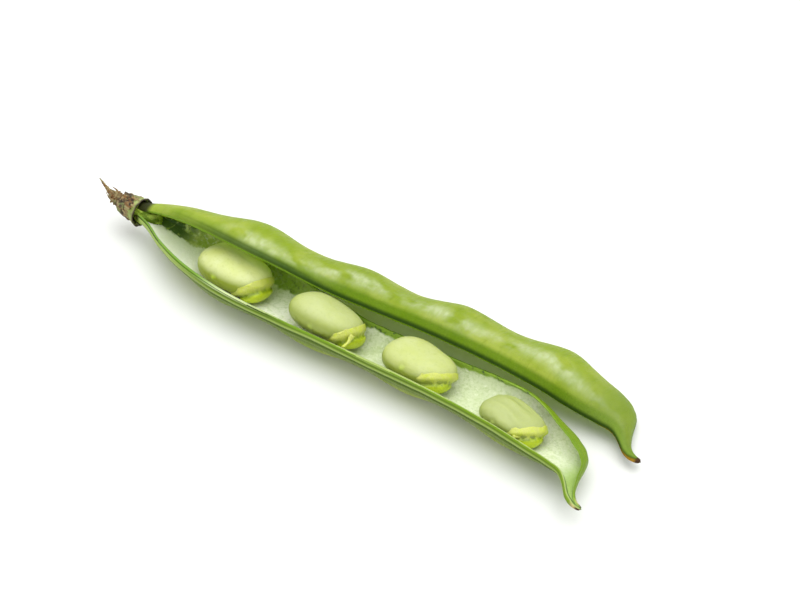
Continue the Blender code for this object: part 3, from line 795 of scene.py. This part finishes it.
# Each splinter: its root, its bend, its tip and its thickness.
SPLINTERS = (((-10.8, 0.1, 0.3), (-11.9, -0.5, 1.6), (-12.6, -0.5, 3.2), 0.5),
             ((-10.4, 0.3, 0.0), (-11.4, 1.1, 0.3), (-12.4, 1.5, 0.9), 0.42),
             ((-9.0, 0.9, 0.6), (-10.4, 1.6, 1.6), (-12.0, 1.4, 2.2), 0.4),
             ((-9.2, -1.0, 0.2), (-10.6, -1.5, 0.8), (-12.2, -1.0, 1.6), 0.38),
             ((-8.6, 0.2, 1.4), (-9.8, 0.2, 2.3), (-11.2, 0.0, 2.5), 0.42))


def strand(path, radii, sides, roughness, seed, steps=4):
    """A closed, uneven strand of changing thickness along a smooth path."""
    path = np.array(path, float)
    stops = np.linspace(0, 1, len(path))
    fine = np.linspace(0, 1, (len(path) - 1) * steps + 1)
    middle = np.stack([curve(tuple(zip(stops, path[:, k])), fine) for k in range(3)], -1)
    radius = np.interp(fine, np.linspace(0, 1, len(radii)), radii)
    ahead = np.gradient(middle, axis=0)
    ahead /= np.linalg.norm(ahead, axis=1, keepdims=True)
    side = np.cross(ahead[0], (0.3, 0.2, 1.0))
    rings = []
    for i, point in enumerate(middle):
        side = side - ahead[i] * side.dot(ahead[i])
        side /= np.linalg.norm(side)
        other = np.cross(ahead[i], side)
        angles = np.linspace(0, 2 * math.pi, sides, endpoint=False)
        wave = np.array([noise.noise((i * 2.4 / steps, math.cos(a) * 1.6, math.sin(a) * 1.6 + seed))
                         for a in angles])
        reach = (radius[i] * (1 + roughness * wave))[:, None]
        rings.append(point + reach * (np.cos(angles)[:, None] * side + np.sin(angles)[:, None] * other))
    return rolled(np.array(rings))


stalk_paint, tree, shader = finish_named("stalk_dry", Roughness=0.85)
own = stretched(tree)
lengthwise = stretched(tree, 0.4, 1.5, 1.5)
base = painted(tree, DRY_TAN, (DRY_BROWN, patch(tree, lengthwise, 700, 0.4, 0.6)),
               (DRY_DARK, patch(tree, own, 420, 0.55, 0.65), 0.7),
               (STALK_GREEN, patch(tree, stretched(tree, 1.1, 0.9, 1.0), 380, 0.52, 0.62), 0.6))
fed(tree, shader, {"Base Color": base,
                   "Normal": raised(tree, patch(tree, lengthwise, 2200, 0.2, 0.8), 0.0002, 1.0)})

start = Vector((CUP_PROFILE[0][0] - 0.3, 0, 0))
shares = np.linspace(0, 1, STALK_STEPS)
core = [NECK + start.lerp(STALK_END, s) + STALK_SAG * math.sin(math.pi * s) for s in shares]
stalk_bm = strand(core, straight(STALK_RADII, shares), sides=40, roughness=0.55, seed=3.0, steps=8)
for k, (*places, thick) in enumerate(SPLINTERS):
    joined(stalk_bm, strand([NECK + Vector(place) for place in places],
                            (*(thick * share for share in SPLINTER_TAPER), SPLINTER_TIP),
                            sides=10, roughness=0.5, seed=k * 2.7))
stalk = made_of("flower_stalk", stalk_bm, [stalk_paint])
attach(stalk, "root")
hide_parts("stalk")


# The bean stalks.
# A fleshy cap on each bean's end, by which it grew on the pod's edge: two soft lips with a groove
# between them. The second and the fourth are still tied to the edge by a strand.
BEAN_STEPS = (120, 72)
BED_GAP = 0.5
CAP_REACH = 5.0
CAP_OVERHANG = 0.7
LIP_OVERLAP = 0.5
LIP_EDGE = 0.12
TIE_THICKNESS = (0.9, 0.5, 0.34, 0.42)
TIE_SAG = Vector((0.3, 0.2, -0.3))
# Beside its size and place, each bean has: scar, its cap's direction (turn and lean) and depth;
# sunk, the place behind which its cap is drawn in; tie, where its strand leaves the cap and the
# station where it meets the rim; nub, the place of its little knob in half sizes; folds, the
# depth of its creases; dull, how much of a duller tone it has; and last, how much painted light
# lifts the shade that the upper half casts on its far side.
BEANS = (
    dict(station=37.3, across=-0.1, up=0.7, size=(21.6, 17.0, 10.2), yaw=-3, roll=2,
         scar=(-7.5, -50, 2.5), sunk=8.0, nub=(-0.05, -1.0, 0.0), folds=0.0, dull=0.0, painted_light=1.0),
    dict(station=69.7, across=0.0, up=1.3, size=(21.6, 16.8, 10.0), yaw=-1, roll=-12,
         scar=(4, -50, 2.8), sunk=8.0, tie=((10.6, -2.8, 0.2), 81.5), nub=(0.05, -0.96, -0.3),
         folds=0.0, dull=0.5, painted_light=0.0),
    dict(station=99.9, across=0.1, up=0.6, size=(20.8, 15.4, 9.4), yaw=-2, roll=0,
         scar=(-40, -56, 3.3), sunk=5.0, nub=(-0.12, -0.96, 0.2), folds=0.0, dull=0.3, painted_light=0.0),
    dict(station=131.4, across=-1.4, up=-0.3, size=(18.6, 13.4, 7.6), yaw=1, roll=0,
         scar=(-31, -54, 3.0), sunk=4.5, tie=((6.3, -3.8, -0.2), 136.8), nub=(-0.2, -1.0, 0.0),
         folds=0.24, dull=0.75, painted_light=0.0),
)
LIP_CREAM = colour(194, 200, 94)
CAP_GREEN = colour(190, 206, 24)
CAP_END = colour(176, 200, 48)
GROOVE_GREEN = colour(122, 146, 2)
# Tones from the bean outwards: the share of the cap's depth, the colour, and its cover.
CAP_TONES = ((-0.25, LIP_CREAM, 1), (0.28, LIP_CREAM, 1), (0.5, GROOVE_GREEN, 1),
             (0.72, CAP_GREEN, 1), (1.05, CAP_GREEN, 1), (1.5, CAP_END, 1))


def bean_form(size):
    """A whole bean about its own centre: a flattened oval, fuller at one end, with a shallow dip."""
    bm = bmesh.new()
    bmesh.ops.create_uvsphere(bm, u_segments=BEAN_STEPS[0], v_segments=BEAN_STEPS[1], radius=1)
    bmesh.ops.rotate(bm, matrix=Matrix.Rotation(math.pi / 2, 3, "Y"), verts=bm.verts)
    half = Vector(size) / 2
    for v in bm.verts:
        x, y, z = v.co
        flat = math.hypot(x, y)
        if flat > 0.001:
            square = (abs(x / flat) ** 2.5 + abs(y / flat) ** 2.5) ** (-1 / 2.5)
            x, y = x * square, y * square
        taper = 1 - 0.10 * x
        notch = 1 - 0.10 * math.exp(-(((x - 0.35) / 0.35) ** 2)) * max(y, 0)
        dip = 1 - 0.14 * math.exp(-(((x - 0.25) / 0.4) ** 2) - ((y - 0.2) / 0.6) ** 2)
        v.co = Vector((half.x * x, half.y * y * taper * notch,
                       half.z * math.copysign(abs(z) ** 0.9, z) * taper * dip))
    return bm


def bean_place(bean):
    """Turns a bean's own axes (along, across, up) into its place in the lower half."""
    middle, over, up, _, _ = frame_at(LOWER, [bean["station"] + step for step in (-6, 0, 6)])
    ahead = Vector(middle[2] - middle[0])
    up = Vector(up[1])
    along = (ahead - up * ahead.dot(up)).normalized()
    over = up.cross(along)
    yaw = Matrix.Rotation(math.radians(bean["yaw"]), 3, "Z")
    roll = Matrix.Rotation(math.radians(bean["roll"]), 3, "X")
    axes = Matrix((along, over, up)).transposed() @ (yaw @ roll)
    place = Vector(middle[1]) + over * bean["across"] + up * bean["up"]
    return Matrix.Translation(place) @ axes.to_4x4()


def scar(bean):
    """The plane, in a bean's own axes, where its stalk meets it."""
    half = Vector(bean["size"]) / 2
    turn, lean = (math.radians(angle) for angle in bean["scar"][:2])
    normal = Vector((math.cos(turn) * math.cos(lean), math.sin(turn) * math.cos(lean),
                     math.sin(lean)))
    reach = Vector(h * n for h, n in zip(half, normal)).length
    return normal * (reach - bean["scar"][2]), normal


def cut_off(bm, point, normal):
    """Removes what lies beyond a plane, and closes the cut."""
    cut = bmesh.ops.bisect_plane(bm, geom=bm.verts[:] + bm.edges[:] + bm.faces[:], plane_co=point,
                                 plane_no=normal, clear_outer=True)
    bmesh.ops.holes_fill(bm, edges=[e for e in cut["geom_cut"] if isinstance(e, bmesh.types.BMEdge)])


def keep_off_bed(bm):
    """Moves what would run into the lower half's lining to the nearest clear place."""
    places = np.array([v.co for v in bm.verts])
    turn = np.array(Matrix.Rotation(math.radians(LOWER["yaw"]), 3, "Z"))
    station = ((places - np.array(NECK)) @ turn)[:, 0]
    middle, over, up, near, far = frame_at(LOWER, station)
    across = ((places - middle) * over).sum(axis=1)
    rise = ((places - middle) * up).sum(axis=1)
    width = (far - near) / 2 - EDGE_WALL - BED_GAP
    depth = hollow_depth(station) - BED_GAP
    reach = np.maximum(1, np.hypot(across / width, np.minimum(rise, 0) / depth))
    lifted = np.where(rise < 0, rise / reach, rise)
    for v, place in zip(bm.verts, middle + over * (across / reach)[:, None] + up * lifted[:, None]):
        v.co = place


cap_paint, tree, shader = finish_named("bean_stalk_flesh", Subsurface_Weight=0.35,
                                       Subsurface_Scale=0.0015, Subsurface_Radius=(1.0, 1.0, 0.2),
                                       Coat_Weight=0.15, Coat_Roughness=0.3)
own = stretched(tree)
tone, _ = bands(tree, guide(tree, "beyond"), -0.3, 1.6, CAP_TONES)
base = painted(tree, tone, (CAP_GREEN, patch(tree, own, 620, 0.45, 0.7), 0.6))
rough = spread(tree, patch(tree, own, 900, 0.3, 0.7), 0, 1, 0.32, 0.52)
fed(tree, shader, {"Base Color": base, "Roughness": rough,
                   "Normal": raised(tree, patch(tree, own, 1500, 0.2, 0.8), 0.00015, 0.6)})

for number, bean in enumerate(BEANS, start=1):
    bm = bean_form([side + CAP_OVERHANG for side in bean["size"]])
    point, normal = scar(bean)
    cut_off(bm, point - normal * LIP_OVERLAP, -normal)
    beyond_layer = bm.verts.layers.float.new("beyond")
    depth = max((v.co - point).dot(normal) for v in bm.verts)
    centre = sum((v.co for v in bm.verts), Vector()) / len(bm.verts)
    for v in bm.verts:
        beyond = (v.co - point).dot(normal) / depth
        swirl = v.co.normalized()
        ragged = noise.noise(swirl * 9 + Vector((number * 3.1, 0, 0)))
        fold = noise.noise(swirl * 4.2 + Vector((0, number * 2.3, 0)))
        v[beyond_layer] = beyond + 0.10 * ragged
        groove = hump(beyond, 0.42 + 0.08 * fold, 0.14)
        lips = hump(beyond, 0.2, 0.14) + hump(beyond, 0.75, 0.2)
        aside = v.co - centre - normal * (v.co - centre).dot(normal)
        v.co += aside * (0.045 * lips * (1 + 1.2 * fold) - 0.18 * groove * (1 + 0.6 * ragged))
        v.co += normal * max(beyond, 0) * (CAP_REACH - depth)
        if beyond < LIP_EDGE:
            v.co -= normal * 0.28 * ragged * (LIP_EDGE - beyond) / LIP_EDGE
        root_side = min(max((bean["sunk"] - v.co.x) / 2.0, 0), 1)
        v.co -= (v.co - normal * v.co.dot(normal)) * 0.16 * root_side
    bmesh.ops.recalc_face_normals(bm, faces=bm.faces)
    place = bean_place(bean)
    bmesh.ops.transform(bm, matrix=place, verts=bm.verts)
    keep_off_bed(bm)
    if "tie" in bean:
        root, station = bean["tie"]
        middle, over, up, near, far = (values[0] for values in frame_at(LOWER, [station]))
        root = place @ Vector(root)
        end = Vector(middle - over * ((far - near) / 2 - EDGE_WALL - 0.2) + up * 0.2)
        sag = (root + end) / 2 + TIE_SAG
        cap_points = len(bm.verts)
        joined(bm, strand([root, sag, end], TIE_THICKNESS, sides=14, roughness=0.4, seed=number))
        bm.verts.ensure_lookup_table()
        for v in bm.verts[cap_points:]:
            v[beyond_layer] = 0.85
    cap = made_of(f"bean_cap_{number}", bm, [cap_paint])
    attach(cap, "root")
    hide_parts(f"bean_stalk_{number}")


# The beans.
# Four seeds in smooth pale green skins, each in its bed in the lining. The last one is thinner
# and creased lengthwise.
BEAN_PALE = colour(204, 210, 148)
BEAN_EDGE_GREEN = colour(148, 162, 46)
BEAN_YELLOW = colour(192, 200, 112)
BEAN_PAINTED_LIGHT = colour(242, 250, 164)
BEAN_DULL = colour(150, 162, 84)
NUB_GREEN = colour(180, 202, 60)

bean_paint, tree, shader = finish_named("bean_skin", Subsurface_Weight=0.4, Subsurface_Scale=0.002,
                                        Subsurface_Radius=(1.0, 1.0, 0.35), Coat_Weight=0.12,
                                        Coat_Roughness=0.35)
own = stretched(tree)
base = painted(tree, BEAN_PALE, (BEAN_YELLOW, patch(tree, own, 70, 0.35, 0.68)),
               (BEAN_EDGE_GREEN, spread(tree, guide(tree, "flank"), 0.28, 0.9)),
               (BEAN_EDGE_GREEN, patch(tree, own, 1100, 0.5, 0.75), 0.25),
               # painted light on the first bean's far side, which lies in the upper half's shade
               (BEAN_PAINTED_LIGHT, guide(tree, "painted_light")), (NUB_GREEN, guide(tree, "nub")),
               (BEAN_DULL, guide(tree, "dull")))
rough = spread(tree, patch(tree, own, 500, 0.3, 0.7), 0, 1, 0.36, 0.5)
fed(tree, shader, {"Base Color": base, "Roughness": rough,
                   "Normal": raised(tree, patch(tree, own, 1200, 0.2, 0.8), 0.00008, 0.5)})

for number, bean in enumerate(BEANS, start=1):
    half = Vector(bean["size"]) / 2
    seed = Vector((number * 11.0, 0, 0))
    bm = bean_form(bean["size"])
    for name in ("flank", "nub", "dull", "painted_light"):
        bm.verts.layers.float.new(name)
    flank, nub, dull, painted_light = bm.verts.layers.float.values()
    for v in bm.verts:
        x, y, z = (c / h for c, h in zip(v.co, half))
        rise = 0.10 * noise.noise(v.co * 0.16 + seed) + 0.03 * noise.noise(v.co * 0.5 + seed)
        wander = 1.6 * noise.noise(Vector((v.co.x * 0.12, v.co.y * 0.2, 0)) + seed)
        crease = math.sin(v.co.y * 1.75 + 0.22 * v.co.x + wander)
        crease *= 0.7 + 0.6 * noise.noise(v.co * 0.3 + seed)
        rise += bean["folds"] * crease * max(z, 0) ** 0.5 * (1 - x * x * 0.6)
        off = Vector(h * (c - n) for h, c, n in zip(half, (x, y, z), bean["nub"])).length
        rise += 0.26 * hump(off, 0, 0.5) - 0.16 * hump(off, 1.1, 0.5)
        v[nub] = float(hump(off, 0, 0.9)) * 0.9
        v[dull] = bean["dull"]
        # painted light where the upper half's shade falls on the bean's far side
        far_side = min(max((y + 0.25) / 0.45, 0), 1) * min(max((1.15 - x) / 0.7, 0), 1)
        v[painted_light] = bean["painted_light"] * far_side
        v[flank] = 1 - max(z, 0) ** 0.6
        v.co *= 1 + rise / v.co.length
    bmesh.ops.transform(bm, matrix=bean_place(bean), verts=bm.verts)
    keep_off_bed(bm)
    piece = made_of(f"bean_seed_{number}", bm, [bean_paint])
    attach(piece, "root")
    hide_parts(f"bean_{number}")
